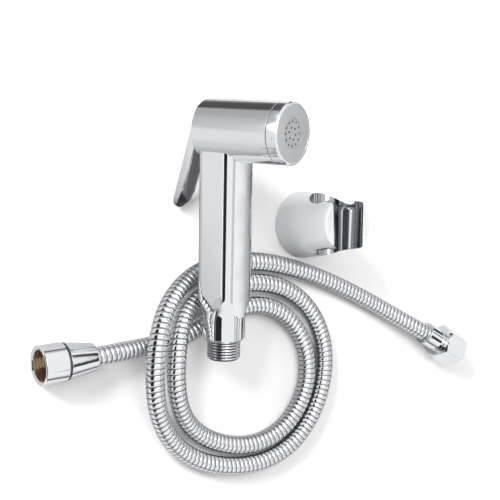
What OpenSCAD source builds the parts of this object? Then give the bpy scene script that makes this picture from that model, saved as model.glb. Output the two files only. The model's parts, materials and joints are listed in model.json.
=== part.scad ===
// Handheld bath sprayer kit laid out flat on a table: a trigger handset, its
// ribbed flexible hose with two nuts, and the wall bracket the handset hangs in.
// Origin: centre of the bracket's flat wall face. +Z is up from the table.

/* [Head] */
// Outside diameter of the round spray head
head_d = 38; // [30:1:44]
// Length of the head from its back face to its spray face
head_length = 61.4; // [48:0.1:72]
// Distance from the handle's axis back to the head's back face
head_back = 13.2; // [13:0.1:15]
// Height of the head's axis above the end of the inlet thread
head_height = 144; // [125:1:160]
// Width of the cap ring that holds the spray face
cap_width = 7.5; // [5:0.1:9]
// Wall of the head around its water chamber
head_wall = 3.2; // [2:0.1:4]
// Thickness of the head's back wall
head_back_wall = 4.5; // [3:0.5:6]
// Width of the seam between the cap ring and the head
seam_gap = 0.3; // [0.2:0.05:0.6]
// Wall of the cap ring
cap_wall = 1.8; // [1.4:0.1:2.4]
// Bevel round the front rim of the cap ring
cap_bevel = 0.8; // [0.4:0.1:1.2]
// Diameter of the round insert that holds the jets
insert_d = 18.4; // [15:0.2:22]
// Depth of the insert below the satin face
insert_recess = 0.4; // [0.2:0.1:1]
// Thickness of the satin face plate
face_thickness = 3; // [2:0.1:4]
// Depth of the face plate below the cap's rim
face_recess = 0.3; // [0.1:0.1:0.8]
// Diameter of one spray hole
jet_d = 1.3; // [0.7:0.1:1.4]
// Radius of the outer circle of spray holes
jet_outer_r = 7.3; // [5.5:0.1:8]
// Radius of the inner circle of spray holes
jet_inner_r = 3.7; // [2.6:0.1:4.4]
// Number of spray holes on the outer circle
jets_outer = 12; // [8:1:16]
// Number of spray holes on the inner circle
jets_inner = 6; // [4:1:8]

/* [Handle] */
// Front to back size of the handle
handle_depth = 25.8; // [22:0.1:30]
// Side to side size of the handle
handle_width = 28; // [22:0.5:29]
// Radius of the handle's long corners
handle_corner_r = 5.6; // [3:0.5:8]
// Diameter of the round neck under the handle
neck_d = 26.6; // [24:0.1:28]
// Height of the neck's lower end
neck_bottom = 12.2; // [10:0.1:14]
// Height where the neck meets the shoulder
neck_top = 27; // [23:0.1:30]
// Height where the shoulder has run out into the handle
shoulder_top = 43; // [34:0.1:46]
// Chamfer round the neck's lower rim
neck_chamfer = 1.8; // [0.8:0.1:2.4]
// Diameter of the water passage up the handle
handle_bore_d = 14; // [10:0.5:16]

/* [Inlet thread] */
// Outside diameter of the half inch pipe thread
thread_d = 20.955; // [18:0.005:24]
// Pitch of the thread
thread_pitch = 1.814; // [1:0.001:2.5]
// Depth of the thread
thread_depth = 1.162; // [0.8:0.001:1.5]
// Number of thread turns on the inlet
inlet_turns = 6; // [4:1:7]
// Bore of the inlet
inlet_bore_d = 13; // [10:0.5:15]
// Length of the inlet's plug inside the neck
inlet_plug_length = 10; // [6:0.5:12]

/* [Lever] */
// Width of the trigger lever
lever_width = 14.5; // [11:0.5:16]
// Length of the lever below its pin
lever_length = 64; // [52:1:70]
// Length of the lever above its pin
lever_top = 3.5; // [2.5:0.5:5]
// Sheet thickness of the lever's web and side walls
lever_wall = 1.5; // [1.2:0.1:2]
// Depth of the lever's channel from web to open edge
lever_channel = 5.8; // [4:0.1:6.5]
// Angle between the resting lever and the handle
lever_angle = 16.5; // [14:0.1:22]
// Height of the lever's pin above the head's axis
pin_rise = 10; // [8:0.5:12]
// Distance from the head's back face to the pin
pin_back = 2.5; // [2.3:0.1:4]
// Diameter of the lever's pin
pin_d = 2; // [1.6:0.1:2.4]
// Radius of the head's lug and the lever's ears round the pin
lug_r = 2; // [1.8:0.1:2.1]

/* [Valve] */
// Diameter of the valve stem
stem_d = 5; // [4:0.1:6]
// Gap between the stem's nose and the resting lever
nose_gap = 0.3; // [0.1:0.05:0.6]
// Position of the valve seat from the handle's axis
seat_x = 10; // [8:0.5:12]
// Bore of the valve seat
seat_bore_d = 8.4; // [7:0.1:9]
// Diameter of the chamber in front of the seat
chamber_d = 15; // [14:0.5:18]
// Diameter of the valve body's waist
waist_d = 20; // [18.5:0.5:22]
// Length of the valve body
valve_length = 33.4; // [28:0.1:35]
// Thickness of the rubber valve washer
washer_thickness = 2; // [1.5:0.1:2.5]
// Diameter of the rubber valve washer
washer_d = 11.4; // [10:0.1:13]
// Wire diameter of the return spring
spring_wire_d = 0.9; // [0.6:0.1:1.2]
// Diameter of the return spring at its wire's middle
spring_d = 9; // [8:0.1:11]
// Number of curls in the return spring
spring_curls = 4; // [3:1:6]
// Thickness of the spring's retainer
retainer_thickness = 2; // [1.5:0.1:3]

/* [Hose] */
// Outside diameter of the ribbed hose
hose_d = 12; // [10:0.5:13]
// Bore of the hose
hose_bore_d = 8; // [6:0.5:9]
// Depth of the groove between two ribs
rib_depth = 0.7; // [0.4:0.1:1]
// Number of ribs drawn along the hose
hose_ribs = 190; // [120:1:200]

/* [Hose nuts] */
// Outside diameter of the conical nut's mouth
cone_nut_d = 24; // [23.4:0.1:24.2]
// Length of the conical nut's straight mouth
cone_mouth_length = 15; // [12:0.5:17]
// Length of the conical nut
cone_nut_length = 35; // [32:0.5:40]
// Diameter of the conical nut's hose end
cone_nut_end_d = 17.6; // [17.4:0.1:20]
// Width of the groove behind the mouth
cone_groove_width = 1.5; // [1:0.1:2.5]
// Depth of the groove behind the mouth
cone_groove_depth = 0.8; // [0.5:0.1:1.2]
// Width of the hexagonal nut across its flats
hex_nut_af = 24; // [23.4:0.1:24.2]
// Length of the hexagonal nut
hex_nut_length = 19; // [17:0.5:24]
// Diameter of the plain sleeve behind the hexagonal nut
hex_sleeve_d = 16.6; // [16:0.1:18]
// Length of thread inside each nut
nut_thread_length = 11; // [9:0.5:13]
// Number of thread turns inside each nut
nut_turns = 4; // [3:1:5]
// Diameter of the inner sleeve that each nut turns on
sleeve_d = 15; // [14.6:0.1:15.4]
// Depth of hose held inside its sleeve
hose_grip = 4; // [3:0.5:6]
// Diameter of the flange that holds each nut on
flange_d = 18; // [17:0.1:18.4]
// Thickness of the flange that holds each nut on
flange_thickness = 2; // [1.5:0.1:3]
// Thickness of each nut's rubber washer
hose_washer_thickness = 2.5; // [2:0.1:3]
// Bore through each sleeve and washer
sleeve_bore_d = 9; // [7:0.5:10]

/* [Wall bracket] */
// Diameter of the bracket at the wall
bracket_wall_d = 46; // [44:0.5:54]
// Diameter of the bracket at its front
bracket_front_d = 38; // [37:0.5:42]
// Distance that the bracket stands off the wall
bracket_length = 50; // [46:1:60]
// Width of the cradle's U at its wide upper end
cradle_top_width = 23.5; // [22:0.1:25]
// Width of the cradle's U at its narrow lower end
cradle_bottom_width = 20.5; // [19:0.1:21]
// Distance of the cradle's centre line from the wall
cradle_centre = 33; // [30:0.5:36]
// Thickness of the polished liner in the cradle
liner_wall = 1.5; // [1:0.1:2]
// Diameter of the round seat at the cradle's upper end
seat_d = 30; // [27:0.5:32]
// Depth of the round seat below the bracket's upper side
seat_depth = 9; // [5:0.5:11]
// Wall of the bracket round its hollow back
bracket_wall = 4.5; // [3:0.5:6]
// Depth of the hollow back
hollow_depth = 14; // [10:0.5:16]
// Thickness of the plate that is screwed to the wall
plate_thickness = 9; // [8:0.5:10]
// Spacing of the two wall screw holes
wall_screw_spacing = 22; // [18:0.5:26]
// Diameter of each wall screw hole
wall_screw_d = 4.5; // [3.5:0.1:5]
// Diameter of the grub screw that locks the bracket on its plate
grub_d = 4; // [3:0.5:4]
// Length of the grub screw
grub_length = 7.5; // [6:0.5:9]

/* [Layout on the table] */
// Sideways place of the handset from the bracket
handset_x = -81; // [-95:0.5:-75]
// Place of the inlet's end along the table
handset_y = -85; // [-96:1:-76]
// Height of the inlet's end above the table
handset_lift = 23.55; // [20:0.05:35]
// Turn of the handset about its handle
handset_roll = 70; // [55:1:80]
// Rise of the handle toward the head
handset_tilt = 7.6; // [4:0.05:12]
// Turn of the handle on the table, seen from above
handset_yaw = 4; // [0:0.5:8]

/* [Fits] */
// Gap between pieces that are pushed together
push_gap = 0.05; // [0.02:0.01:0.1]
// Gap round a piece that turns or slides in another
running_gap = 0.06; // [0.03:0.01:0.1]
// Gap beside a piece that turns between two faces
side_gap = 0.3; // [0.2:0.05:0.5]

/* [Hidden] */
$fn = 64;
head_r = head_d / 2;
head_front = head_length - head_back;
cap_back = head_front - cap_width;
chamber_r = head_r - head_wall;
cap_inner_r = head_r - cap_wall;
face_front = head_front - face_recess;
face_back = face_front - face_thickness;
cap_ring_r = (cap_inner_r - chamber_r) / 2;
shell_front = face_back - 2 * cap_ring_r;
insert_r = insert_d / 2;
thread_r = thread_d / 2;
thread_root_r = thread_r - thread_depth;
thread_length = inlet_turns * thread_pitch;
plug_r = thread_root_r + 0.3;
pin_z = head_height + pin_rise;
pin_x = -head_back - pin_back;
lug_half = lever_width / 2 - lever_wall - side_gap;
web_in = lug_r + side_gap;
web_out = web_in + lever_wall;
channel_in = web_out - lever_channel;
stem_r = stem_d / 2;
nose_w = web_in - nose_gap - stem_r;
nose_x = pin_x - (nose_w + pin_rise * sin(lever_angle)) / cos(lever_angle);
valve_back = -head_back + head_back_wall + push_gap;
valve_front = valve_back + valve_length;
washer_back = seat_x + push_gap;
stem_disc_x = washer_back + washer_thickness + push_gap;
stem_disc_t = 1.5;
retainer_back = valve_front - retainer_thickness;
spring_from = stem_disc_x + stem_disc_t + spring_wire_d / 2 + push_gap;
spring_to = retainer_back - spring_wire_d / 2 - push_gap;
ring_r = 0.8;
gland_r = 6;
hose_r = hose_d / 2;
nut_minor_r = thread_root_r;
sleeve_r = sleeve_d / 2;
flange_r = flange_d / 2;
cone_back = -3;
cone_front = cone_back + cone_nut_length;
hex_front = cone_front - 2;
hex_back = hex_front - hex_nut_length;
flange_z = cone_front - nut_thread_length - hose_washer_thickness - flange_thickness + 1.5;
hex_flange_z = flange_z - 2;
lip_slope = (bracket_wall_d - bracket_front_d) / 2 / bracket_length;
plate_r = bracket_wall_d / 2 - bracket_wall - 0.2;

// Middle of the hose from the conical nut to the hexagonal nut, in round
// millimetres, as it lies on the table: two turns that cross over its own tail
// and pass under the handle.
hose_points = [
  [-170, -80, 12.1],
  [-158, -79, 12.1],
  [-146, -78, 9.6],
  [-130, -77, 6.2],
  [-114, -75, 6.2],
  [-98, -71, 6.2],
  [-79, -62, 6.2],
  [-59, -55, 6.2],
  [-38, -53, 6.2],
  [-20, -60, 6.2],
  [-7, -73, 6.2],
  [0, -90, 6.2],
  [0, -109, 6.2],
  [-8, -126, 6.2],
  [-21, -139, 6.2],
  [-38, -146, 6.2],
  [-57, -147, 6.2],
  [-77, -142, 6.2],
  [-95, -132, 8],
  [-108, -117, 14.2],
  [-114, -98, 19.6],
  [-114, -79, 21.2],
  [-107, -60, 15],
  [-92, -46, 7.8],
  [-70, -40, 6.2],
  [-49, -38, 6.2],
  [-27, -40, 6.2],
  [-7, -49, 6.2],
  [8, -65, 6.2],
  [16, -86, 6.2],
  [15, -109, 6.2],
  [6, -131, 6.2],
  [-10, -149, 6.2],
  [-31, -159, 6.2],
  [-55, -161, 6.2],
  [-79, -157, 6.2],
  [-101, -147, 6.6],
  [-118, -130, 11],
  [-128, -108, 18],
  [-130, -85, 21.8],
  [-125, -62, 19.6],
  [-112, -44, 13],
  [-92, -31, 7.2],
  [-69, -25, 6.2],
  [-46, -24, 6.2],
  [-23, -27, 6.2],
  [0, -33, 6.2],
  [23, -41, 6.2],
  [50, -52, 6.2],
  [77, -65, 7],
  [98, -76, 12.1],
  [110, -82, 12.1]
];

// ---- Small shared shapes ----

// Puts a piece of the handset, drawn upright on its thread, where it lies.
module lay_handset() {
  translate([handset_x, handset_y, handset_lift])
    rotate([handset_tilt, 0, handset_yaw])
      rotate([0, -handset_roll, 0])
        rotate([-90, 0, 0])
          children();
}

// Turns a piece drawn along Z so that it runs along the head, toward the jets.
module along_head() {
  translate([0, 0, head_height])
    rotate([0, 90, 0])
      children();
}

// A tube from z0 to z1.
module tube(outer, inner, z0, z1) {
  translate([0, 0, z0])
    difference() {
      cylinder(r = outer, h = z1 - z0);
      translate([0, 0, -1])
        cylinder(r = inner, h = z1 - z0 + 2);
    }
}

// A rubber ring round Z with its middle at height z.
module o_ring(middle_r, section_r, z) {
  translate([0, 0, z])
    rotate_extrude()
      translate([middle_r, 0])
        circle(r = section_r, $fn = 24);
}

// A circle of equal holes along Z.
module hole_ring(count, ring_r, hole_r, z0, z1, turn = 0) {
  for (i = [0 : count - 1])
    rotate([0, 0, turn + 360 * i / count])
      translate([ring_r, 0, z0])
        cylinder(r = hole_r, h = z1 - z0, $fn = 24);
}

// Outline of the handle: a rectangle with round corners.
module handle_outline() {
  cx = handle_depth / 2 - handle_corner_r;
  cy = handle_width / 2 - handle_corner_r;
  square([handle_depth, 2 * cy], center = true);
  square([2 * cx, handle_width], center = true);
  for (sx = [-1, 1], sy = [-1, 1])
    translate([sx * cx, sy * cy])
      circle(r = handle_corner_r);
}

// Ridges of a pipe thread between the root and the crest radius, as rings.
module thread_rings(root, crest, z0, turns, pitch) {
  for (i = [0 : turns - 1])
    translate([0, 0, z0 + i * pitch])
      rotate_extrude()
        polygon([
          [root, pitch * 0.06],
          [crest, pitch * 0.36],
          [crest, pitch * 0.64],
          [root, pitch * 0.94]
        ]);
}

// ---- Handset ----

// The handle's corners are turned down to the neck along an S-shaped curve.
module shoulder_envelope() {
  corner = handle_corner_r + 0.1 + norm([
    handle_depth / 2 - handle_corner_r,
    handle_width / 2 - handle_corner_r
  ]);
  rise = shoulder_top - neck_top;
  steps = 16;
  rotate_extrude()
    polygon(concat(
      [[0, neck_top - 1], [neck_d / 2, neck_top - 1]],
      [for (i = [0 : steps])
        [neck_d / 2 + (corner - neck_d / 2) * (1 - cos(180 * i / steps)) / 2,
         neck_top + rise * i / steps]],
      [[corner + 1, shoulder_top + 1], [corner + 1, head_height], [0, head_height]]
    ));
}

module handset_shell() {
  color("gainsboro")
    lay_handset()
      difference() {
        union() {
          intersection() {
            translate([0, 0, neck_top - 1])
              linear_extrude(head_height - neck_top + 1)
                handle_outline();
            shoulder_envelope();
          }
          rotate_extrude()
            polygon([
              [0, neck_bottom],
              [neck_d / 2 - neck_chamfer, neck_bottom],
              [neck_d / 2, neck_bottom + neck_chamfer],
              [neck_d / 2, neck_top + 0.5],
              [neck_d / 2 - 1.5, neck_top + 2],
              [0, neck_top + 2]
            ]);
          along_head()
            translate([0, 0, -head_back])
              cylinder(r = head_r, h = head_back + cap_back, $fn = 96);
          along_head()
            cylinder(r = cap_inner_r - push_gap, h = shell_front);
          // lug between the lever's ears
          translate([pin_x, 0, pin_z])
            rotate([90, 0, 0])
              cylinder(r = lug_r, h = 2 * lug_half, center = true, $fn = 32);
          translate([pin_x, -lug_half, pin_z - lug_r])
            cube([pin_back + 1, 2 * lug_half, 2 * lug_r]);
        }
        // water chamber in the head, and the holes in its back wall
        along_head()
          translate([0, 0, -head_back + head_back_wall])
            cylinder(r = chamber_r, h = head_length);
        along_head()
          translate([0, 0, -head_back - 3])
            cylinder(r = gland_r, h = head_back_wall + 4);
        // water passage up the handle, and the socket for the inlet's plug
        translate([0, 0, neck_bottom - 1])
          cylinder(r = handle_bore_d / 2, h = head_height - neck_bottom);
        translate([0, 0, neck_bottom - 1])
          cylinder(r = plug_r + push_gap, h = inlet_plug_length + 1);
        // hole for the lever's pin
        translate([pin_x, 0, pin_z])
          rotate([90, 0, 0])
            cylinder(r = pin_d / 2 + push_gap, h = lever_width, center = true, $fn = 32);
      }
}

module inlet_spigot() {
  plug_bottom = neck_bottom;
  color("silver")
    lay_handset()
      difference() {
        union() {
          cylinder(r = thread_root_r, h = plug_bottom);
          thread_rings(thread_root_r, thread_r, 0.6, inlet_turns, thread_pitch);
          translate([0, 0, plug_bottom - 0.4])
            cylinder(r = plug_r, h = inlet_plug_length + 0.3);
        }
        translate([0, 0, -1])
          cylinder(r = inlet_bore_d / 2, h = neck_bottom + inlet_plug_length + 2);
        translate([0, 0, -1])
          cylinder(r = inlet_bore_d / 2 + 1, h = 3.5);
      }
}

module inlet_strainer() {
  color("dimgray")
    lay_handset()
      difference() {
        translate([0, 0, 1])
          cylinder(r = inlet_bore_d / 2 + 1 - push_gap, h = 1.4);
        hole_ring(10, 5, 0.8, 0, 3);
        hole_ring(6, 2.5, 0.8, 0, 3);
      }
}

module nozzle_cap() {
  z0 = cap_back + seam_gap;
  color("whitesmoke")
    lay_handset()
      along_head()
        difference() {
          rotate_extrude($fn = 96)
            polygon([
              [cap_inner_r, z0],
              [head_r - 0.2, z0],
              [head_r, z0 + 0.2],
              [head_r, head_front - cap_bevel],
              [head_r - cap_bevel, head_front],
              [cap_inner_r, head_front]
            ]);
          // small index notch low on the side of the rim
          rotate([0, 0, -82])
            translate([head_r - 0.7, -0.9, head_front - 3.4])
              cube([2, 1.8, 2.2]);
        }
}

module face_plate() {
  color("darkgray")
    lay_handset()
      along_head()
        tube(cap_inner_r - push_gap, insert_r + push_gap, face_back, face_front);
}

module jet_insert() {
  front = face_front - insert_recess;
  color("gray")
    lay_handset()
      along_head()
        difference() {
          union() {
            translate([0, 0, face_back - 1])
              cylinder(r = insert_r, h = front - face_back + 1);
            translate([0, 0, face_back - 1])
              cylinder(r = insert_r + 1.6, h = 1 - push_gap);
          }
          hole_ring(jets_outer, jet_outer_r, jet_d / 2, face_back - 2, head_front);
          hole_ring(jets_inner, jet_inner_r, jet_d / 2, face_back - 2, head_front, 15);
        }
}

module cap_o_ring() {
  color("black")
    lay_handset()
      along_head()
        o_ring(chamber_r + cap_ring_r, cap_ring_r - push_gap, (shell_front + face_back) / 2);
}

module flow_diffuser() {
  color("white")
    lay_handset()
      along_head()
        difference() {
          translate([0, 0, valve_front + 4])
            cylinder(r = chamber_r - push_gap, h = 2);
          hole_ring(10, chamber_r * 0.68, 1.5, valve_front + 3, valve_front + 7);
          hole_ring(5, chamber_r * 0.3, 1.2, valve_front + 3, valve_front + 7);
        }
}

module valve_body() {
  end_flange = 4.5;
  guide_end = seat_x - 8;
  color("goldenrod")
    lay_handset()
      along_head()
        difference() {
          translate([0, 0, valve_back])
            cylinder(r = chamber_r - push_gap, h = valve_length);
          // waist that the water flows round
          translate([0, 0, valve_back + end_flange])
            difference() {
              cylinder(r = chamber_r + 1, h = valve_length - 2 * end_flange);
              translate([0, 0, -1])
                cylinder(r = waist_d / 2, h = valve_length);
            }
          translate([0, 0, valve_back - 1])
            cylinder(r = stem_r + running_gap, h = valve_length, $fn = 48);
          for (z = [valve_back + 1.4, valve_back + 4.6])
            translate([0, 0, z])
              cylinder(r = stem_r + 2 * ring_r + push_gap, h = 2 * ring_r + 0.1);
          translate([0, 0, guide_end])
            cylinder(r = seat_bore_d / 2, h = valve_length);
          translate([0, 0, seat_x])
            cylinder(r = chamber_d / 2, h = valve_length);
          // four ports from the waist to the back of the seat
          for (a = [0 : 90 : 270])
            rotate([0, 0, a])
              translate([0, 0, seat_x - 4.5])
                rotate([0, 90, 0])
                  cylinder(r = 2, h = chamber_r + 2, $fn = 32);
        }
}

module valve_stem() {
  color("silver")
    lay_handset()
      along_head() {
        translate([0, 0, nose_x])
          sphere(r = stem_r, $fn = 48);
        translate([0, 0, nose_x])
          cylinder(r = stem_r, h = stem_disc_x - nose_x + 0.5, $fn = 48);
        translate([0, 0, stem_disc_x])
          cylinder(r = washer_d / 2, h = stem_disc_t);
      }
}

module valve_washer() {
  color("black")
    lay_handset()
      along_head()
        tube(washer_d / 2, stem_r + push_gap, washer_back, washer_back + washer_thickness);
}

// Wire of the return spring, as rings of six points along a helix.
spring_rings = spring_curls * 8;
spring_path = [for (i = [0 : spring_rings])
  let (a = 360 * spring_curls * i / spring_rings)
  [spring_d / 2 * cos(a), spring_d / 2 * sin(a),
   spring_from + (spring_to - spring_from) * i / spring_rings]];
spring_gap = min([for (i = [0 : spring_rings], j = [i + 6 : 1 : spring_rings])
  norm(spring_path[i] - spring_path[j])]) - spring_wire_d;
echo(spring_gap_to_itself = spring_gap);

module valve_spring() {
  sides = 6;
  rise = (spring_to - spring_from) / (360 * spring_curls) * 180 / PI;
  lean = atan2(rise, spring_d / 2);
  points = [for (i = [0 : spring_rings], k = [0 : sides - 1])
    let (
      a = 360 * spring_curls * i / spring_rings,
      b = 360 * k / sides,
      out = [cos(a), sin(a), 0],
      up = [sin(a) * sin(lean), -cos(a) * sin(lean), cos(lean)]
    )
    spring_path[i] + spring_wire_d / 2 * (cos(b) * out + sin(b) * up)];
  color("lightsteelblue")
    lay_handset()
      along_head()
        polyhedron(points, swept_faces(spring_rings + 1, sides));
}

module spring_retainer() {
  color("goldenrod")
    lay_handset()
      along_head()
        difference() {
          translate([0, 0, retainer_back])
            cylinder(r = chamber_d / 2 - push_gap, h = retainer_thickness);
          hole_ring(5, 4.4, 1.6, retainer_back - 1, valve_front + 1);
        }
}

module stem_o_rings() {
  color("black")
    lay_handset()
      along_head()
        for (z = [valve_back + 1.4, valve_back + 4.6])
          o_ring(stem_r + ring_r + running_gap / 2, ring_r - 0.05, z + ring_r + 0.05);
}

module gland_nut() {
  color("silver")
    lay_handset()
      along_head()
        difference() {
          translate([0, 0, -head_back - 0.8])
            cylinder(r = gland_r - push_gap, h = head_back_wall + 0.8 - push_gap);
          translate([0, 0, -head_back - 2])
            cylinder(r = stem_r + running_gap, h = head_back_wall + 4, $fn = 48);
          for (s = [-1, 1])
            translate([s * 4.2, 0, -head_back - 2])
              cylinder(r = 0.7, h = 2.5, $fn = 24);
        }
}

// The lever is drawn hanging from its pin: X is along its outward side.
module trigger_lever() {
  half = lever_width / 2;
  color("whitesmoke")
    lay_handset()
      translate([pin_x, 0, pin_z])
        rotate([0, lever_angle, 0])
          difference() {
            intersection() {
              union() {
                // web, with a rounded lower end
                translate([-web_out, -half, -lever_length - 1])
                  cube([lever_wall, lever_width, lever_length + lever_top + 1]);
                for (s = [-1, 1])
                  translate([0, s * (half - lever_wall / 2), 0])
                    rotate([90, 0, 0])
                      lever_side();
              }
              rotate([0, -90, 0])
                linear_extrude(40, center = true)
                  lever_front_outline();
            }
            rotate([90, 0, 0])
              cylinder(r = pin_d / 2 + push_gap, h = lever_width + 2, center = true, $fn = 32);
          }
}

// Side wall of the lever: an ear round the pin, then a band that narrows down.
module lever_side() {
  linear_extrude(lever_wall, center = true) {
    polygon([
      [-web_in, lever_top],
      [-web_out, lever_top - 1],
      [-web_out, -lever_length - 1],
      [-web_in, -lever_length - 1],
      [-channel_in - 1.2, -lever_length * 0.8],
      [-channel_in, -lever_length * 0.5],
      [-channel_in, -8],
      [lug_r - 0.2, -1],
      [lug_r, 0],
      [0, 2]
    ]);
    circle(r = lug_r, $fn = 32);
  }
}

// Front view of the lever: straight sides and round ends. X is the height.
module lever_front_outline() {
  r = lever_width / 2;
  translate([-lever_length + r, -r])
    square([lever_length + lever_top - r, lever_width]);
  translate([-lever_length + r, 0])
    circle(r = r);
}

module lever_pin() {
  color("dimgray")
    lay_handset()
      translate([pin_x, 0, pin_z])
        rotate([90, 0, 0])
          cylinder(r = pin_d / 2, h = lever_width - 0.2, center = true, $fn = 32);
}

// ---- Hose ----

// Faces of a closed bar whose rings each have the given number of sides.
function swept_faces(rings, sides) = concat(
  [for (i = [0 : rings - 2], k = [0 : sides - 1])
    let (a = i * sides, b = (k + 1) % sides)
    each [[a + k, a + b, a + sides + k], [a + b, a + sides + b, a + sides + k]]],
  [for (k = [1 : sides - 2]) [0, k + 1, k]],
  [for (k = [1 : sides - 2])
    [(rings - 1) * sides, (rings - 1) * sides + k, (rings - 1) * sides + k + 1]]
);

// A smooth line drawn by the route's points: a uniform cubic B-spline that
// starts and ends on the first and last point.
hose_last = len(hose_points) - 1;
hose_ends = concat(
  [2 * hose_points[0] - hose_points[1]],
  hose_points,
  [2 * hose_points[hose_last] - hose_points[hose_last - 1]]
);
function spline_at(s) =
  let (i = min(floor(s), hose_last - 1), t = s - i)
  ((1 - t) ^ 3 * hose_ends[i]
    + (3 * t ^ 3 - 6 * t ^ 2 + 4) * hose_ends[i + 1]
    + (-3 * t ^ 3 + 3 * t ^ 2 + 3 * t + 1) * hose_ends[i + 2]
    + t ^ 3 * hose_ends[i + 3]) / 6;

// Length of the line up to each of many fine steps, then places at equal lengths.
fine_steps = 12 * hose_last;
fine_points = [for (i = [0 : fine_steps]) spline_at(i / 12)];
fine_lengths = [for (i = 0, l = 0; i <= fine_steps;
  l = l + (i < fine_steps ? norm(fine_points[i + 1] - fine_points[i]) : 0), i = i + 1) l];
hose_length = fine_lengths[fine_steps];
function place_at(l) = lookup(l, [for (i = [0 : fine_steps]) [fine_lengths[i], i / 12]]);
rib_rings = 2 * hose_ribs + 1;
rib_points = [for (i = [0 : rib_rings - 1])
  spline_at(place_at(hose_length * i / (rib_rings - 1)))];
echo(hose_length = hose_length);

// Unit direction along a list of points, and a side direction that stays level.
function along(p, i) =
  let (v = p[min(i + 1, len(p) - 1)] - p[max(i - 1, 0)])
  v / norm(v);
function level(t) = [t[1], -t[0], 0] / norm([t[0], t[1]]);

// Rings of points round a list of places.
function rings_round(p, radii, sides) = [for (i = [0 : len(p) - 1], k = [0 : sides - 1])
  let (
    t = along(p, i),
    u = level(t),
    v = cross(u, t),
    a = 360 * k / sides
  )
  p[i] + radii[i] * (cos(a) * u + sin(a) * v)];

module hose_tube() {
  sides = 8;
  bore_step = 4;
  bore_count = floor((rib_rings - 1) / bore_step) + 1;
  bore_points = [for (i = [0 : bore_count - 1])
    rib_points[i == bore_count - 1 ? rib_rings - 1 : i * bore_step]];
  outer = rings_round(
    rib_points,
    [for (i = [0 : rib_rings - 1]) hose_r - (i % 2 == 0 ? rib_depth : 0)],
    sides
  );
  inner = rings_round(bore_points, [for (p = bore_points) hose_bore_d / 2], sides);
  n = len(outer);
  last_out = n - sides;
  last_in = len(inner) - sides;
  skin = [for (i = [0 : rib_rings - 2], k = [0 : sides - 1])
    let (a = i * sides, b = (k + 1) % sides)
    each [[a + k, a + b, a + sides + k], [a + b, a + sides + b, a + sides + k]]];
  lining = [for (i = [0 : bore_count - 2], k = [0 : sides - 1])
    let (a = n + i * sides, b = (k + 1) % sides)
    each [[a + b, a + k, a + sides + k], [a + b, a + sides + k, a + sides + b]]];
  rims = [for (k = [0 : sides - 1])
    let (b = (k + 1) % sides)
    each [
      [b, k, n + k],
      [b, n + k, n + b],
      [last_out + k, last_out + b, n + last_in + k],
      [last_out + b, n + last_in + b, n + last_in + k]
    ]];
  color("lightgray")
    polyhedron(concat(outer, inner), concat(skin, lining, rims));
}

// Puts a fitting, drawn along Z from the hose's end outward, on that end.
module at_hose_start() {
  v = hose_points[0] - hose_points[1];
  translate(hose_points[0])
    rotate([0, 90, atan2(v[1], v[0])])
      children();
}

module at_hose_end() {
  v = hose_points[hose_last] - hose_points[hose_last - 1];
  translate(hose_points[hose_last])
    rotate([0, 90, atan2(v[1], v[0])])
      children();
}

// Bore of a nut: room for the sleeve, a relief round the flange and washer, then
// the thread's ridges at the mouth.
module nut_bore(back, shoulder, front) {
  major_r = thread_r + 0.05;
  relief = flange_thickness + hose_washer_thickness + push_gap + side_gap + 0.05;
  translate([0, 0, back - 1])
    cylinder(r = sleeve_r + running_gap, h = front - back + 2);
  translate([0, 0, shoulder])
    cylinder(r = major_r, h = relief);
  translate([0, 0, shoulder])
    cylinder(r = nut_minor_r, h = front - shoulder + 1);
  thread_rings(nut_minor_r - 0.01, major_r, front - 1 - nut_turns * thread_pitch,
    nut_turns, thread_pitch);
  translate([0, 0, front - 1])
    cylinder(r1 = nut_minor_r, r2 = major_r + 0.2, h = 1.01);
}

module cone_nut() {
  groove_top = cone_front - cone_mouth_length;
  groove_low = groove_top - cone_groove_width;
  r = cone_nut_d / 2;
  color("whitesmoke")
    at_hose_start()
      difference() {
        rotate_extrude($fn = 96)
          polygon([
            [0, cone_back],
            [cone_nut_end_d / 2 - 0.4, cone_back],
            [cone_nut_end_d / 2, cone_back + 0.4],
            [r - cone_groove_depth / 2, groove_low],
            [r - cone_groove_depth, groove_low],
            [r - cone_groove_depth, groove_top],
            [r - 0.3, groove_top],
            [r, groove_top + 0.3],
            [r, cone_front - 0.5],
            [r - 0.5, cone_front],
            [0, cone_front]
          ]);
        nut_bore(cone_back, flange_z - push_gap, cone_front);
      }
}

// Inner sleeve that grips the hose and carries the flange a nut turns on.
module hose_sleeve(tail_r, tail_end, flange_at) {
  difference() {
    union() {
      translate([0, 0, -hose_grip])
        cylinder(r = tail_r, h = tail_end + hose_grip);
      cylinder(r = sleeve_r, h = flange_at);
      translate([0, 0, flange_at])
        cylinder(r = flange_r, h = flange_thickness);
    }
    translate([0, 0, -hose_grip - 1])
      cylinder(r = hose_r + push_gap, h = hose_grip + 1 + push_gap);
    cylinder(r = sleeve_bore_d / 2, h = flange_at + flange_thickness + 1);
  }
}

module cone_nut_sleeve() {
  color("darkkhaki")
    at_hose_start()
      hose_sleeve(sleeve_r, 1, flange_z);
}

module nut_washer(z) {
  tube(flange_r, sleeve_bore_d / 2, z, z + hose_washer_thickness);
}

module cone_nut_washer() {
  color("black")
    at_hose_start()
      nut_washer(flange_z + flange_thickness + push_gap);
}

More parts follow.
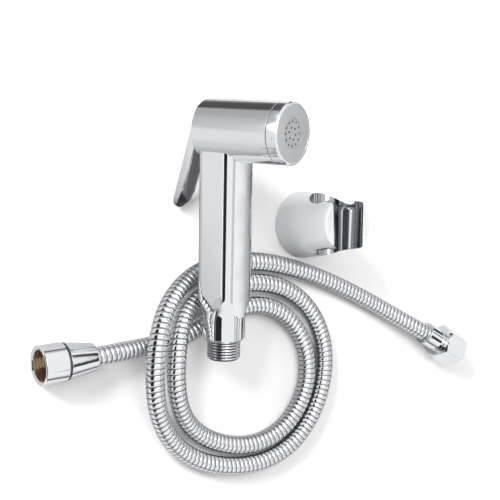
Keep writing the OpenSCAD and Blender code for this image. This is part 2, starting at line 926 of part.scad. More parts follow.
module hex_nut() {
  r = hex_nut_af / 2 / cos(30);
  color("whitesmoke")
    at_hose_end()
      difference() {
        intersection() {
          translate([0, 0, hex_back])
            rotate([0, 0, 30])
              cylinder(r = r, h = hex_nut_length, $fn = 6);
          // the hexagon's corners are turned off at both ends
          rotate_extrude($fn = 96)
            polygon([
              [0, hex_back],
              [hex_nut_af / 2 - 0.6, hex_back],
              [r + 0.1, hex_back + 1.6],
              [r + 0.1, hex_front - 1.6],
              [hex_nut_af / 2 - 0.2, hex_front],
              [0, hex_front]
            ]);
        }
        nut_bore(hex_back, hex_flange_z - push_gap, hex_front);
      }
}

module hex_nut_sleeve() {
  color("darkkhaki")
    at_hose_end()
      hose_sleeve(hex_sleeve_d / 2, hex_back - side_gap, hex_flange_z);
}

module hex_nut_washer() {
  color("black")
    at_hose_end()
      nut_washer(hex_flange_z + flange_thickness + push_gap);
}

// ---- Wall bracket ----

function bracket_r(z) = bracket_wall_d / 2 - lip_slope * z;

// The cradle's U: a tapered round bottom along Y, open toward the front.
module cradle_space(grow) {
  reach = bracket_wall_d / 2 + 2;
  top_r = cradle_top_width / 2 + grow;
  bottom_r = cradle_bottom_width / 2 + grow;
  translate([0, reach, cradle_centre])
    rotate([90, 0, 0])
      cylinder(r1 = top_r, r2 = bottom_r, h = 2 * reach);
  translate([0, 0, cradle_centre])
    linear_extrude(bracket_length)
      polygon([[-top_r, reach], [-bottom_r, -reach], [bottom_r, -reach], [top_r, reach]]);
}

// Round seat that takes the nut or shoulder above the cradle.
module seat_space() {
  floor_y = bracket_r(cradle_centre) - seat_depth;
  translate([0, floor_y, cradle_centre])
    rotate([-90, 0, 0])
      cylinder(r = seat_d / 2, h = bracket_wall_d);
}

module bracket_body() {
  color("lightsteelblue")
    difference() {
      rotate_extrude($fn = 96)
        polygon([
          [0, 0],
          [bracket_wall_d / 2 - 0.4, 0],
          [bracket_r(0.5), 0.5],
          [bracket_r(bracket_length - 1), bracket_length - 1],
          [bracket_r(bracket_length) - 1, bracket_length],
          [0, bracket_length]
        ]);
      cradle_space(liner_wall + push_gap);
      seat_space();
      translate([0, 0, -1])
        cylinder(r = plate_r + push_gap, h = hollow_depth + 1);
      translate([0, 0, grub_place])
        rotate([90, 0, 0])
          cylinder(r = grub_d / 2 + push_gap, h = bracket_wall_d, $fn = 32);
    }
}
grub_place = 5;
grub_tip_y = grub_length + 0.4 - bracket_r(grub_place);

module bracket_cradle() {
  color("silver")
    difference() {
      intersection() {
        cradle_space(liner_wall);
        cylinder(r1 = bracket_r(0) - 0.1, r2 = bracket_r(bracket_length) - 0.1,
          h = bracket_length, $fn = 96);
      }
      cradle_space(0);
      seat_space();
    }
}

module wall_plate() {
  color("slategray")
    difference() {
      cylinder(r = plate_r, h = plate_thickness);
      for (s = [-1, 1])
        translate([s * wall_screw_spacing / 2, 0, -1])
          cylinder(r = wall_screw_d / 2, h = plate_thickness + 2, $fn = 32);
      translate([0, grub_tip_y + side_gap, grub_place])
        rotate([90, 0, 0])
          cylinder(r = grub_d / 2 + push_gap, h = plate_r, $fn = 32);
    }
}

module grub_screw() {
  color("dimgray")
    difference() {
      translate([0, grub_tip_y, grub_place])
        rotate([90, 0, 0])
          cylinder(r = grub_d / 2, h = grub_length, $fn = 32);
      translate([0, grub_tip_y - grub_length + 2, grub_place])
        rotate([90, 0, 0])
          cylinder(r = grub_d / 4, h = 4, $fn = 6);
    }
}

handset_shell();
inlet_spigot();
inlet_strainer();
nozzle_cap();
face_plate();
jet_insert();
cap_o_ring();
flow_diffuser();
valve_body();
valve_stem();
valve_washer();
valve_spring();
spring_retainer();
stem_o_rings();
gland_nut();
trigger_lever();
lever_pin();
hose_tube();
cone_nut();
cone_nut_sleeve();
cone_nut_washer();
hex_nut();
hex_nut_sleeve();
hex_nut_washer();
bracket_body();
bracket_cradle();
wall_plate();
grub_screw();
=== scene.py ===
"""Dresses the handheld bath sprayer kit: hose, handset, nuts, bracket and stage."""

import json
import math

import bpy
from mathutils import Matrix, Vector


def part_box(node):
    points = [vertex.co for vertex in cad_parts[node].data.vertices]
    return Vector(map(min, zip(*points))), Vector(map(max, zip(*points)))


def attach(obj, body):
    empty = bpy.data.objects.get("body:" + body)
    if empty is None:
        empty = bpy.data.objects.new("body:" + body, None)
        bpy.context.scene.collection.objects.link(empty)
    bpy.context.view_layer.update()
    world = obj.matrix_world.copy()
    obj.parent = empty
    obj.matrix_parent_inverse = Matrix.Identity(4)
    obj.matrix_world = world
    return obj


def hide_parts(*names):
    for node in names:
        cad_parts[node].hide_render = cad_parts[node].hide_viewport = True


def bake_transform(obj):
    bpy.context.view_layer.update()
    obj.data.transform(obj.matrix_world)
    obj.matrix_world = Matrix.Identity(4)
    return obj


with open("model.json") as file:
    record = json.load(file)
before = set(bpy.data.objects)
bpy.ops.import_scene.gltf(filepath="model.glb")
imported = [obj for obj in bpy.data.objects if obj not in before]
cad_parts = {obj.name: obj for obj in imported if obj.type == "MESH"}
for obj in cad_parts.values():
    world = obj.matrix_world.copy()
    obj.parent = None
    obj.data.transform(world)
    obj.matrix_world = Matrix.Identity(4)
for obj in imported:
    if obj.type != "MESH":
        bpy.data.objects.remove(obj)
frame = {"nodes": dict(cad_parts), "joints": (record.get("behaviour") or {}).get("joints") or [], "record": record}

bl_info = {
    "name": "Handheld Bath Sprayer Kit",
    "version": (1, 0, 0),
    "blender": (4, 5, 0),
    "location": "3D View > Sidebar > Sprayer",
    "description": "Builds the ribbed hose and the finishes of a trigger bath sprayer kit",
    "category": "Object",
}

NODES = frame["nodes"]
JOINTS = {joint["name"]: joint for joint in frame["joints"]}
BODY = "kit"

# Lowest and highest roughness of each finish.
ROUGHNESS = {
    "polished_chrome": (0.045, 0.10),
    "lever_chrome": (0.045, 0.10),
    "turned_chrome": (0.05, 0.11),
    "hose_chrome": (0.08, 0.16),
    "cradle_chrome": (0.04, 0.09),
    "pale_satin": (0.30, 0.36),
    "satin_face": (0.30, 0.40),
    "machined_brass": (0.22, 0.34),
    "plain_steel": (0.18, 0.30),
    "jet_insert": (0.35, 0.50),
    "wall_plate": (0.40, 0.55),
    "dark_plastic": (0.40, 0.55),
    "black_rubber": (0.55, 0.70),
}
# How closely the smears lie on plated metal, and on satin and moulded pieces.
METAL_SMEARS = 60.0
MATT_SMEARS = 90.0
# Strength of the fine relief on each kind of surface.
METAL_RELIEF = 0.04
RING_RELIEF = 0.08
INSERT_RELIEF = 0.2
MOULDED_RELIEF = 0.25
# Depth of the relief and radius of the softened edges, in metres.
RELIEF_DEPTH = 0.0001
RING_DEPTH = 0.00002
METAL_EDGE = 0.0004
MATT_EDGE = 0.0003
INSERT_EDGE = 0.0001

# Steepness of the lathe rings on the face: radians of ripple per metre from the middle.
RING_WAVES = 9000.0
# Jet faces count as front or back where their normal points at least this much that way; the others get painted
# shade.
JET_FRONT = 0.5
# Radius inside which the inlet's thread is painted in shade, and how rough it is there.
THREAD_VALLEY = 0.00955
VALLEY_ROUGHNESS = 0.3
# Clear width between the lever's two side walls, and the skin of them that it includes.
LEVER_CHANNEL = 0.0115
CHANNEL_SKIN = 0.0001
# Lever faces that look into the channel, where their normal points less than this much to the back, get painted
# shade.
CHANNEL_FACING = 0.2
# The bracket's round seat: height of its middle, its radius and roughness, and how far from the
# bracket's axis its floor and its rim lie.
SEAT_CENTRE = 0.033
SEAT_RADIUS = 0.0151
SEAT_ROUGHNESS = 0.08
SEAT_FLOOR = 0.010
SEAT_RIM = 0.03
# How metallic the bracket's pale satin plate is.
PALE_METALLIC = 0.2

# Zones inside the hose nuts and their sleeves, along each nut's axis from the point that it
# turns on: look, radius, start and end. Brass zones are bare metal; the dark zone is painted shade.
NUT_ZONES = {
    "cone_nut": (
        "cone_nut_turn",
        [("brass", 0.0109, 0.0175, 0.0312), ("dark", 0.01145, 0.0153, 0.0171)],
    ),
    "cone_nut_sleeve": ("cone_nut_turn", [("brass", 0.0150, 0.0010, 0.05)]),
    "hex_nut": ("hex_nut_turn", [("brass", 0.0109, 0.0155, 0.0292)]),
    "hex_nut_sleeve": ("hex_nut_turn", [("brass", 0.0150, 0.0115, 0.05)]),
}
# Roughness of the bare brass, and of the painted shade in the dark zone.
BRASS_ROUGHNESS = 0.28
PAINTED_SHADE_ROUGHNESS = 0.35

# The hose's strip is chrome above the first share of the groove's depth, and painted in shade
# below the second.
SHADE_FROM = 0.35
SHADE_TO = 0.85
GROOVE_ROUGHNESS = 0.5
# Width of the groove as a share of half a rib, and how far the crown falls toward it.
GROOVE_WIDTH = 0.24
CROWN_FALL = 0.10
# The groove's share of painted shade that the bore has all over.
BORE_SHADE = 0.5
# Fine points on each stretch of the route, from which the hose's length is measured.
ROUTE_STEPS = 40

# Camera film width in millimetres, and the nearest distance that the camera shows.
FILM_WIDTH = 36
NEAREST = 0.05
TABLE_HEIGHT = -0.0002
# Middle of the painted shade on the table top's reflection, and the distances over which it fades to pale.
KIT_MIDDLE = (-0.06, -0.02, 0.0)
PALE_FROM = 0.09
PALE_TO = 0.24

# Each lamp: its place, its side in metres, and whether the chrome reflects it.
LAMPS = {
    "key": ((-0.25, 0.35, 1.1), 0.7, True),
    "left": ((-0.88, 0.55, 0.48), 0.5, False),
    "right": ((0.95, -0.2, 0.6), 0.5, False),
}

# The round studio wall that only reflections see.
WALL_RADIUS = 1.4
WALL_HEIGHT = 0.6
WALL_SIDES = 48
# Share of the wall's height at which its dark foot ends, and the greys above it by share.
WALL_FOOT = 0.10
WALL_GREYS = ((0.22, 0.16), (0.42, 0.42), (0.70, 0.80))

# The card that lies on the table, this high: two ends of each row across it, and its tone.
TABLE_CARD_HEIGHT = 0.002
TABLE_CARD = [
    ((-0.098, 0.096), (-0.022, 0.167), 0.30),
    ((-0.106, 0.104), (-0.045, 0.202), 0.10),
    ((-0.121, 0.110), (-0.127, 0.270), 0.08),
    ((-0.128, 0.111), (-0.168, 0.296), 0.44),
    ((-0.163, 0.101), (-0.414, 0.312), 0.56),
    ((-0.175, 0.058), (-0.517, 0.035), 0.86),
    ((-0.165, 0.039), (-0.393, -0.071), 0.88),
    ((-0.147, 0.028), (-0.257, -0.108), 0.76),
    ((-0.127, 0.023), (-0.151, -0.099), 0.62),
    ((-0.109, 0.027), (-0.072, -0.063), 0.20),
    ((-0.097, 0.035), (-0.027, -0.018), 0.06),
]

# Studio cards that only reflections see: two ends of each row across a card, and its tone.
CARDS = {
    "card_left": [
        ((-1.00, -0.9, 0.16), (-1.00, 0.9, 0.16), 0.02),
        ((-0.92, -0.9, 0.80), (-0.92, 0.9, 0.80), 0.02),
    ],
    "card_over_near": [
        ((0.44, -0.9, 1.00), (0.44, 0.9, 1.00), 0.02),
        ((0.52, -0.9, 1.00), (0.52, 0.9, 1.00), 0.02),
    ],
    "card_over_middle": [
        ((0.74, -0.9, 0.98), (0.74, 0.9, 0.98), 0.02),
        ((0.86, -0.9, 0.92), (0.86, 0.9, 0.92), 0.02),
    ],
    "card_over_far": [
        ((1.08, -0.9, 0.80), (1.08, 0.9, 0.80), 0.02),
        ((1.16, -0.9, 0.72), (1.16, 0.9, 0.72), 0.02),
    ],
    "card_right": [
        ((0.50, -0.30, 0.000), (0.50, 0.12, 0.000), 0.06),
        ((0.50, -0.30, 0.145), (0.50, 0.12, 0.209), 0.12),
        ((0.50, -0.30, 0.153), (0.50, 0.12, 0.217), 1.05),
        ((0.50, -0.30, 0.220), (0.50, 0.12, 0.280), 1.10),
    ],
    "card_on_table": [
        ((*near, TABLE_CARD_HEIGHT), (*far, TABLE_CARD_HEIGHT), tone)
        for near, far, tone in TABLE_CARD
    ],
}

# Height of the hose's middle where it lies on the table, and where a nut holds it.
LOW = 0.0062
AT_NUT = 0.0121
# The hose's route in metres, from the conical nut to the hexagonal nut.
HOSE_ROUTE = [
    (-0.170, -0.080, AT_NUT),
    (-0.158, -0.079, AT_NUT),
    (-0.146, -0.078, 0.0096),
    (-0.130, -0.077, LOW),
    (-0.114, -0.075, LOW),
    (-0.098, -0.071, LOW),
    (-0.079, -0.062, LOW),
    (-0.059, -0.055, LOW),
    (-0.038, -0.053, LOW),
    (-0.020, -0.060, LOW),
    (-0.007, -0.073, LOW),
    (0.000, -0.090, LOW),
    (0.000, -0.109, LOW),
    (-0.008, -0.126, LOW),
    (-0.021, -0.139, LOW),
    (-0.038, -0.146, LOW),
    (-0.057, -0.147, LOW),
    (-0.077, -0.142, LOW),
    (-0.095, -0.132, 0.0080),
    (-0.108, -0.117, 0.0142),
    (-0.114, -0.098, 0.0196),
    (-0.114, -0.079, 0.0212),
    (-0.107, -0.060, 0.0150),
    (-0.092, -0.046, 0.0078),
    (-0.070, -0.040, LOW),
    (-0.049, -0.038, LOW),
    (-0.027, -0.040, LOW),
    (-0.007, -0.049, LOW),
    (0.008, -0.065, LOW),
    (0.016, -0.086, LOW),
    (0.015, -0.109, LOW),
    (0.006, -0.131, LOW),
    (-0.010, -0.149, LOW),
    (-0.031, -0.159, LOW),
    (-0.055, -0.161, LOW),
    (-0.079, -0.157, LOW),
    (-0.101, -0.147, 0.0066),
    (-0.118, -0.130, 0.0110),
    (-0.128, -0.108, 0.0180),
    (-0.130, -0.085, 0.0218),
    (-0.125, -0.062, 0.0196),
    (-0.112, -0.044, 0.0130),
    (-0.092, -0.031, 0.0072),
    (-0.069, -0.025, LOW),
    (-0.046, -0.024, LOW),
    (-0.023, -0.027, LOW),
    (0.000, -0.033, LOW),
    (0.023, -0.041, LOW),
    (0.050, -0.052, LOW),
    (0.077, -0.065, 0.0070),
    (0.098, -0.076, AT_NUT),
    (0.110, -0.082, AT_NUT),
]


# ---- Sizes and colours ----


def length(name, text, metres):
    """A length that shows in the scene's units."""
    return bpy.props.FloatProperty(
        name=name, description=text, default=metres, min=0.0, unit="LENGTH", precision=5
    )


def colour(name, text, rgb):
    """A colour with a swatch in the panel."""
    return bpy.props.FloatVectorProperty(
        name=name, description=text, default=rgb, size=3, min=0.0, max=1.0, subtype="COLOR"
    )


def power(name, text, watts):
    """A lamp's power."""
    return bpy.props.FloatProperty(
        name=name, description=text, default=watts, min=0.0, unit="POWER"
    )


class SPRAYER_HoseSizes(bpy.types.PropertyGroup):
    """Sizes of the ribbed hose."""

    diameter: length("Diameter", "Outside diameter over the ribs", 0.012)
    bore: length("Bore", "Inside diameter", 0.008)
    pitch: length("Rib pitch", "Distance from one rib to the next", 0.0034)
    groove: length("Groove depth", "Depth of the groove between two ribs", 0.00062)
    sides: bpy.props.IntProperty(
        name="Sides", description="Faces round the hose", default=20, min=12, max=48
    )
    steps: bpy.props.IntProperty(
        name="Steps a rib", description="Rings along one rib", default=8, min=4, max=12
    )


class SPRAYER_Colours(bpy.types.PropertyGroup):
    """Base colours of the finishes, and the colours of painted shade."""

    chrome: colour("Chrome", "Polished chrome plate", (0.83, 0.84, 0.86))
    # groove is painted shade for the hose's grooves and bore, the inlet's thread valley and a ring inside the
    # conical nut.
    groove: colour("Groove", "Shaded groove of the hose or a thread", (0.10, 0.10, 0.105))
    pale_satin: colour("Pale satin", "The bracket's pale satin plate", (0.70, 0.71, 0.72))
    # channel is painted shade for the faces inside the lever's channel.
    channel: colour("Channel", "Shaded channel inside the lever", (0.33, 0.33, 0.34))
    liner: colour("Liner", "Dark polished liner of the cradle", (0.45, 0.46, 0.48))
    face: colour("Face", "Satin face round the jets", (0.77, 0.78, 0.79))
    insert: colour("Insert", "Moulded insert that holds the jets", (0.37, 0.38, 0.39))
    brass: colour("Brass", "Machined brass in the nuts and the valve", (0.55, 0.40, 0.27))
    steel: colour("Steel", "Plain steel pins and springs", (0.45, 0.45, 0.46))
    rubber: colour("Rubber", "Black rubber seals", (0.025, 0.025, 0.027))
    plastic: colour("Plastic", "Grey plastic of the wall plate", (0.42, 0.43, 0.44))
    diffuser: colour("Diffuser", "Dark plastic of the diffuser", (0.05, 0.05, 0.052))
    floor: colour("Floor", "Table top", (0.93, 0.93, 0.93))
    # Painted shade that only reflections see on the table top: darker near the kit, paler farther off.
    floor_near: colour("Floor near", "Reflected table top close by", (0.40, 0.40, 0.405))
    floor_away: colour("Floor away", "Reflected table top farther off", (0.72, 0.72, 0.73))
    wall: colour("Wall", "Foot of the reflected studio wall", (0.02, 0.02, 0.022))


class SPRAYER_StageSizes(bpy.types.PropertyGroup):
    """Camera, floor and lights."""

    aim: bpy.props.FloatVectorProperty(
        name="Aim",
        description="Point that the camera looks at",
        default=(-0.051, -0.017, 0.010),
        size=3,
        subtype="TRANSLATION",
        unit="LENGTH",
    )
    distance: length("Distance", "From the aim to the camera", 0.700)
    lean_left: bpy.props.FloatProperty(
        name="Lean left",
        description="Camera's lean from straight above toward the conical nut",
        default=math.radians(35),
        subtype="ANGLE",
    )
    lean_front: bpy.props.FloatProperty(
        name="Lean forward",
        description="Camera's lean toward the near edge",
        default=math.radians(-1),
        subtype="ANGLE",
    )
    lens: bpy.props.FloatProperty(
        name="Lens", description="Focal length in millimetres", default=76.3, min=20, max=200
    )
    floor_size: length("Floor", "Side of the square floor", 6.0)
    key_power: power("Key", "Power of the large soft lamp overhead", 4.4)
    left_power: power("Left", "Power of the lamp beyond the conical nut", 22.0)
    right_power: power("Right", "Power of the lamp beyond the hexagonal nut", 4.0)
    sky: bpy.props.FloatProperty(
        name="Sky", description="Strength of the even light all round", default=0.52, min=0
    )


# ---- Shader helpers ----


def new_material(name, kind="ShaderNodeBsdfPrincipled"):
    """A node material with one shader: the material, its tree and the shader."""
    material = bpy.data.materials.new(name)
    material.use_nodes = True
    tree = material.node_tree
    tree.nodes.clear()
    output = tree.nodes.new("ShaderNodeOutputMaterial")
    shader = tree.nodes.new(kind)
    tree.links.new(shader.outputs[0], output.inputs["Surface"])
    return material, tree, shader


def add(tree, kind, values=(), **settings):
    """A node with its settings and its input values by name."""
    node = tree.nodes.new(kind)
    for key, value in settings.items():
        setattr(node, key, value)
    for key, value in dict(values).items():
        node.inputs[key].default_value = value
    return node


def feed(tree, source, target):
    """Links a socket from another socket, or gives it a plain value."""
    if isinstance(source, bpy.types.NodeSocket):
        tree.links.new(source, target)
    else:
        target.default_value = source


def number(tree, operation, *sources):
    """A number worked out from sockets or plain numbers."""
    node = add(tree, "ShaderNodeMath", operation=operation)
    for source, target in zip(sources, node.inputs):
        feed(tree, source, target)
    return node.outputs["Value"]


def vector(tree, operation, *sources, output="Vector"):
    """A vector, or with output Value a number, worked out from sockets or plain vectors."""
    node = add(tree, "ShaderNodeVectorMath", operation=operation)
    for source, target in zip(sources, node.inputs):
        feed(tree, source, target)
    return node.outputs[output]


def mix_colours(tree, share, first, second):
    """The colour between two colours, which the Mix node takes on its sockets 6 and 7."""
    node = add(tree, "ShaderNodeMix", data_type="RGBA")
    for source, target in ((share, 0), (first, 6), (second, 7)):
        feed(tree, source, node.inputs[target])
    return node.outputs[2]


def mix_numbers(tree, share, first, second):
    """The number between two numbers, which the Mix node takes on its sockets 2 and 3."""
    node = add(tree, "ShaderNodeMix", data_type="FLOAT")
    for source, target in ((share, 0), (first, 2), (second, 3)):
        feed(tree, source, node.inputs[target])
    return node.outputs[0]


def new_group(name, inputs, outputs):
    """A shader node group with named sockets, and whether it is still empty."""
    if name in bpy.data.node_groups:
        return bpy.data.node_groups[name], False
    group = bpy.data.node_groups.new(name, "ShaderNodeTree")
    for label, kind, value in inputs:
        socket = group.interface.new_socket(name=label, in_out="INPUT", socket_type=kind)
        socket.default_value = value
    for label, kind in outputs:
        group.interface.new_socket(name=label, in_out="OUTPUT", socket_type=kind)
    return group, True


def place(tree, group, **values):
    """A node that uses a group, with this material's own values."""
    node = tree.nodes.new("ShaderNodeGroup")
    node.node_tree = group
    for key, value in values.items():
        node.inputs[key.replace("_", " ").capitalize()].default_value = value
    return node


def handling_marks():
    """Faint smears and fine scratches: a height, and roughness between two values."""
    group, fresh = new_group(
        "Handling marks",
        [
            ("Smear scale", "NodeSocketFloat", METAL_SMEARS),
            ("Low roughness", "NodeSocketFloat", 0.05),
            ("High roughness", "NodeSocketFloat", 0.12),
        ],
        [("Roughness", "NodeSocketFloat"), ("Height", "NodeSocketFloat")],
    )
    if not fresh:
        return group
    source = group.nodes.new("NodeGroupInput")
    target = group.nodes.new("NodeGroupOutput")
    here = add(group, "ShaderNodeTexCoord").outputs["Object"]
    smear = add(group, "ShaderNodeTexNoise", {"Detail": 4.0, "Roughness": 0.55, "Distortion": 0.4})
    fine = add(group, "ShaderNodeTexNoise", {"Scale": 900.0, "Detail": 2.0})
    spread = add(group, "ShaderNodeMapRange", {"From Min": 0.38, "From Max": 0.72})
    feed(group, here, smear.inputs["Vector"])
    feed(group, here, fine.inputs["Vector"])
    feed(group, source.outputs["Smear scale"], smear.inputs["Scale"])
    feed(group, smear.outputs["Fac"], spread.inputs["Value"])
    feed(group, source.outputs["Low roughness"], spread.inputs["To Min"])
    feed(group, source.outputs["High roughness"], spread.inputs["To Max"])
    feed(group, spread.outputs["Result"], target.inputs["Roughness"])
    feed(group, fine.outputs["Fac"], target.inputs["Height"])
    return group


def round_the_axis():
    """Distance from an axis, and a mask inside a radius between two heights along it."""
    group, fresh = new_group(
        "Round the axis",
        [
            ("Point", "NodeSocketVector", (0.0, 0.0, 0.0)),
            ("Direction", "NodeSocketVector", (0.0, 0.0, 1.0)),
            ("Radius", "NodeSocketFloat", 0.01),
            ("Start", "NodeSocketFloat", -10.0),
            ("End", "NodeSocketFloat", 10.0),
        ],
        [("Distance", "NodeSocketFloat"), ("Inside", "NodeSocketFloat")],
    )
    if not fresh:
        return group
    source = group.nodes.new("NodeGroupInput").outputs
    target = group.nodes.new("NodeGroupOutput").inputs
    here = add(group, "ShaderNodeTexCoord").outputs["Object"]
    offset = vector(group, "SUBTRACT", here, source["Point"])
    across = vector(group, "CROSS_PRODUCT", offset, source["Direction"])
    distance = vector(group, "LENGTH", across, output="Value")
    near = number(group, "LESS_THAN", distance, source["Radius"])
    height = vector(group, "DOT_PRODUCT", offset, source["Direction"], output="Value")
    beyond = number(group, "GREATER_THAN", height, source["Start"])
    before = number(group, "LESS_THAN", height, source["End"])
    span = number(group, "MULTIPLY", beyond, before)
    feed(group, distance, target["Distance"])
    feed(group, number(group, "MULTIPLY", near, span), target["Inside"])
    return group


def worn_edges():
    """A normal that rounds the sharp edges a little and adds a fine relief."""
    group, fresh = new_group(
        "Worn edges",
        [
            ("Height", "NodeSocketFloat", 0.5),
            ("Relief", "NodeSocketFloat", METAL_RELIEF),
            ("Depth", "NodeSocketFloat", RELIEF_DEPTH),
            ("Edge", "NodeSocketFloat", METAL_EDGE),
        ],
        [("Normal", "NodeSocketVector")],
    )
    if not fresh:
        return group
    source = group.nodes.new("NodeGroupInput").outputs
    target = group.nodes.new("NodeGroupOutput").inputs
    bevel = add(group, "ShaderNodeBevel", samples=6)
    bump = add(group, "ShaderNodeBump")
    feed(group, source["Edge"], bevel.inputs["Radius"])
    feed(group, bevel.outputs["Normal"], bump.inputs["Normal"])
    feed(group, source["Height"], bump.inputs["Height"])
    feed(group, source["Relief"], bump.inputs["Strength"])
    feed(group, source["Depth"], bump.inputs["Distance"])
    feed(group, bump.outputs["Normal"], target["Normal"])
    return group


def marks_of(tree, finish, smears=METAL_SMEARS):
    """Handling marks with a finish's own roughness."""
    low, high = ROUGHNESS[finish]
    return place(
        tree, handling_marks(), smear_scale=smears, low_roughness=low, high_roughness=high
    )


def soft_edges(
    tree, shader, height, relief=METAL_RELIEF, edge=METAL_EDGE, depth=RELIEF_DEPTH
):
    """Gives a material worn edges and a fine relief."""
    worn = place(tree, worn_edges(), relief=relief, depth=depth, edge=edge)
    feed(tree, height, worn.inputs["Height"])
    feed(tree, worn.outputs["Normal"], shader.inputs["Normal"])


def handled(tree, shader, finish, smears=METAL_SMEARS, relief=METAL_RELIEF, edge=METAL_EDGE):
    """Gives a material handling marks and worn edges."""
    marks = marks_of(tree, finish, smears)
    feed(tree, marks.outputs["Roughness"], shader.inputs["Roughness"])
    soft_edges(tree, shader, marks.outputs["Height"], relief, edge)


# ---- Finishes ----


def metal(name, rgb):
    """Bare or plated metal with faint handling marks."""
    material, tree, shader = new_material(name)
    shader.inputs["Base Color"].default_value = (*rgb, 1)
    shader.inputs["Metallic"].default_value = 1
    handled(tree, shader, name)
    return material


def moulded(name, rgb):
    """Plastic or rubber with a fine moulded grain."""
    material, tree, shader = new_material(name)
    shader.inputs["Base Color"].default_value = (*rgb, 1)
    handled(tree, shader, name, MATT_SMEARS, MOULDED_RELIEF, MATT_EDGE)
    return material


def hose_metal(colours):
    """Wound chrome strip that is dull in its grooves, with painted shade there."""
    material, tree, shader = new_material("hose_chrome")
    shader.inputs["Metallic"].default_value = 1
    groove = add(tree, "ShaderNodeAttribute", attribute_name="groove")
    shade = add(tree, "ShaderNodeMapRange", {"From Min": SHADE_FROM, "From Max": SHADE_TO})
    feed(tree, groove.outputs["Fac"], shade.inputs["Value"])
    deep = shade.outputs["Result"]
    smears = marks_of(tree, "hose_chrome").outputs["Roughness"]
    # Painted shade in the grooves and the bore, deeper where the groove is deeper.
    tint = mix_colours(tree, deep, (*colours.chrome, 1), (*colours.groove, 1))
    rough = mix_numbers(tree, deep, smears, GROOVE_ROUGHNESS)
    feed(tree, tint, shader.inputs["Base Color"])
    feed(tree, rough, shader.inputs["Roughness"])
    return material


def zoned_metal(name, rgb, zones, finish="turned_chrome", metallic=1.0):
    """Plate whose zones round an axis each have their own colour and roughness, for bare metal and for painted
    shade.
    """
    material, tree, shader = new_material(name)
    marks = marks_of(tree, finish)
    tint = (*rgb, 1)
    rough = marks.outputs["Roughness"]
    bare = metallic
    for zone_rgb, zone_rough, where in zones:
        inside = place(tree, round_the_axis(), **where).outputs["Inside"]
        tint = mix_colours(tree, inside, tint, (*zone_rgb, 1))
        rough = mix_numbers(tree, inside, rough, zone_rough)
        if metallic < 1:
            bare = number(tree, "MAXIMUM", inside, bare)
    feed(tree, tint, shader.inputs["Base Color"])
    feed(tree, rough, shader.inputs["Roughness"])
    feed(tree, bare, shader.inputs["Metallic"])
    soft_edges(tree, shader, marks.outputs["Height"])
    return material


def turned_face(name, rgb, point, direction):
    """Satin metal with fine rings, as left by a lathe."""
    material, tree, shader = new_material(name)
    shader.inputs["Base Color"].default_value = (*rgb, 1)
    shader.inputs["Metallic"].default_value = 1
    shader.inputs["Anisotropic"].default_value = 0.5
    rings = place(tree, round_the_axis(), point=point, direction=direction)
    wave = number(tree, "MULTIPLY", rings.outputs["Distance"], RING_WAVES)
    ripple = number(tree, "SINE", wave)
    marks = marks_of(tree, name, MATT_SMEARS)
    feed(tree, marks.outputs["Roughness"], shader.inputs["Roughness"])
    soft_edges(tree, shader, ripple, RING_RELIEF, MATT_EDGE, RING_DEPTH)
    return material


def jet_plate(name, rgb, dark, ahead):
    """Moulded plastic with painted shade, in the diffuser's dark colour, inside its spray holes and on its other
    side faces.
    """
    material, tree, shader = new_material(name)
    normal = add(tree, "ShaderNodeNewGeometry").outputs["True Normal"]
    facing = vector(tree, "DOT_PRODUCT", normal, ahead, output="Value")
    front = number(tree, "GREATER_THAN", number(tree, "ABSOLUTE", facing), JET_FRONT)
    # Faces that point neither ahead nor back get painted shade.
    feed(tree, mix_colours(tree, front, (*dark, 1), (*rgb, 1)), shader.inputs["Base Color"])
    handled(tree, shader, name, MATT_SMEARS, INSERT_RELIEF, INSERT_EDGE)
    return material


def lever_chrome(name, rgb, shaded, pin, across, back):
    """Chrome with painted shade in the channel between the lever's side walls."""
    material, tree, shader = new_material(name)
    shader.inputs["Metallic"].default_value = 1
    here = add(tree, "ShaderNodeTexCoord")
    offset = vector(tree, "SUBTRACT", here.outputs["Object"], pin)
    along = vector(tree, "DOT_PRODUCT", offset, across, output="Value")
    wall = LEVER_CHANNEL / 2 + CHANNEL_SKIN
    between = number(tree, "LESS_THAN", number(tree, "ABSOLUTE", along), wall)
    facing = vector(tree, "DOT_PRODUCT", here.outputs["Normal"], back, output="Value")
    inward = number(tree, "LESS_THAN", facing, CHANNEL_FACING)
    inside = number(tree, "MULTIPLY", between, inward)
    # Painted shade on the faces inside the channel.
    feed(tree, mix_colours(tree, inside, (*rgb, 1), (*shaded, 1)), shader.inputs["Base Color"])
    handled(tree, shader, name)
    return material


def cover(piece, material):
    """Gives one piece its material."""
    piece.data.materials.clear()
    piece.data.materials.append(material)


def dress(material, *names):
    """Gives CAD nodes their material."""
    for name in names:
        cover(NODES[name], material)


# ---- Hose ----


def spline_point(points, s):
    """Point on the uniform cubic B-spline through whose ends the route starts and stops."""
    last = len(points) - 1
    i = min(int(s), last - 1)
    t = s - i
    before = points[i - 1] if i > 0 else 2 * points[0] - points[1]
    after = points[i + 2] if i + 2 <= last else 2 * points[last] - points[last - 1]
    return (
        (1 - t) ** 3 * before
        + (3 * t**3 - 6 * t**2 + 4) * points[i]
        + (-3 * t**3 + 3 * t**2 + 3 * t + 1) * points[i + 1]
        + t**3 * after
    ) / 6


def hose_line(spacing):
    """Points of the hose's middle at equal steps, and its length."""
    points = [Vector(p) for p in HOSE_ROUTE]
    count = ROUTE_STEPS * (len(points) - 1)
    fine = [spline_point(points, k / ROUTE_STEPS) for k in range(count + 1)]
    run = [0.0]
    for a, b in zip(fine, fine[1:]):
        run.append(run[-1] + (b - a).length)
    total = run[-1]
    count = round(total / spacing)
    line = []
    k = 0
    for n in range(count + 1):
        want = total * n / count
        while k < len(run) - 2 and run[k + 1] < want:
            k += 1
        share = (want - run[k]) / (run[k + 1] - run[k])
        line.append(fine[k].lerp(fine[k + 1], share))
    return line, total


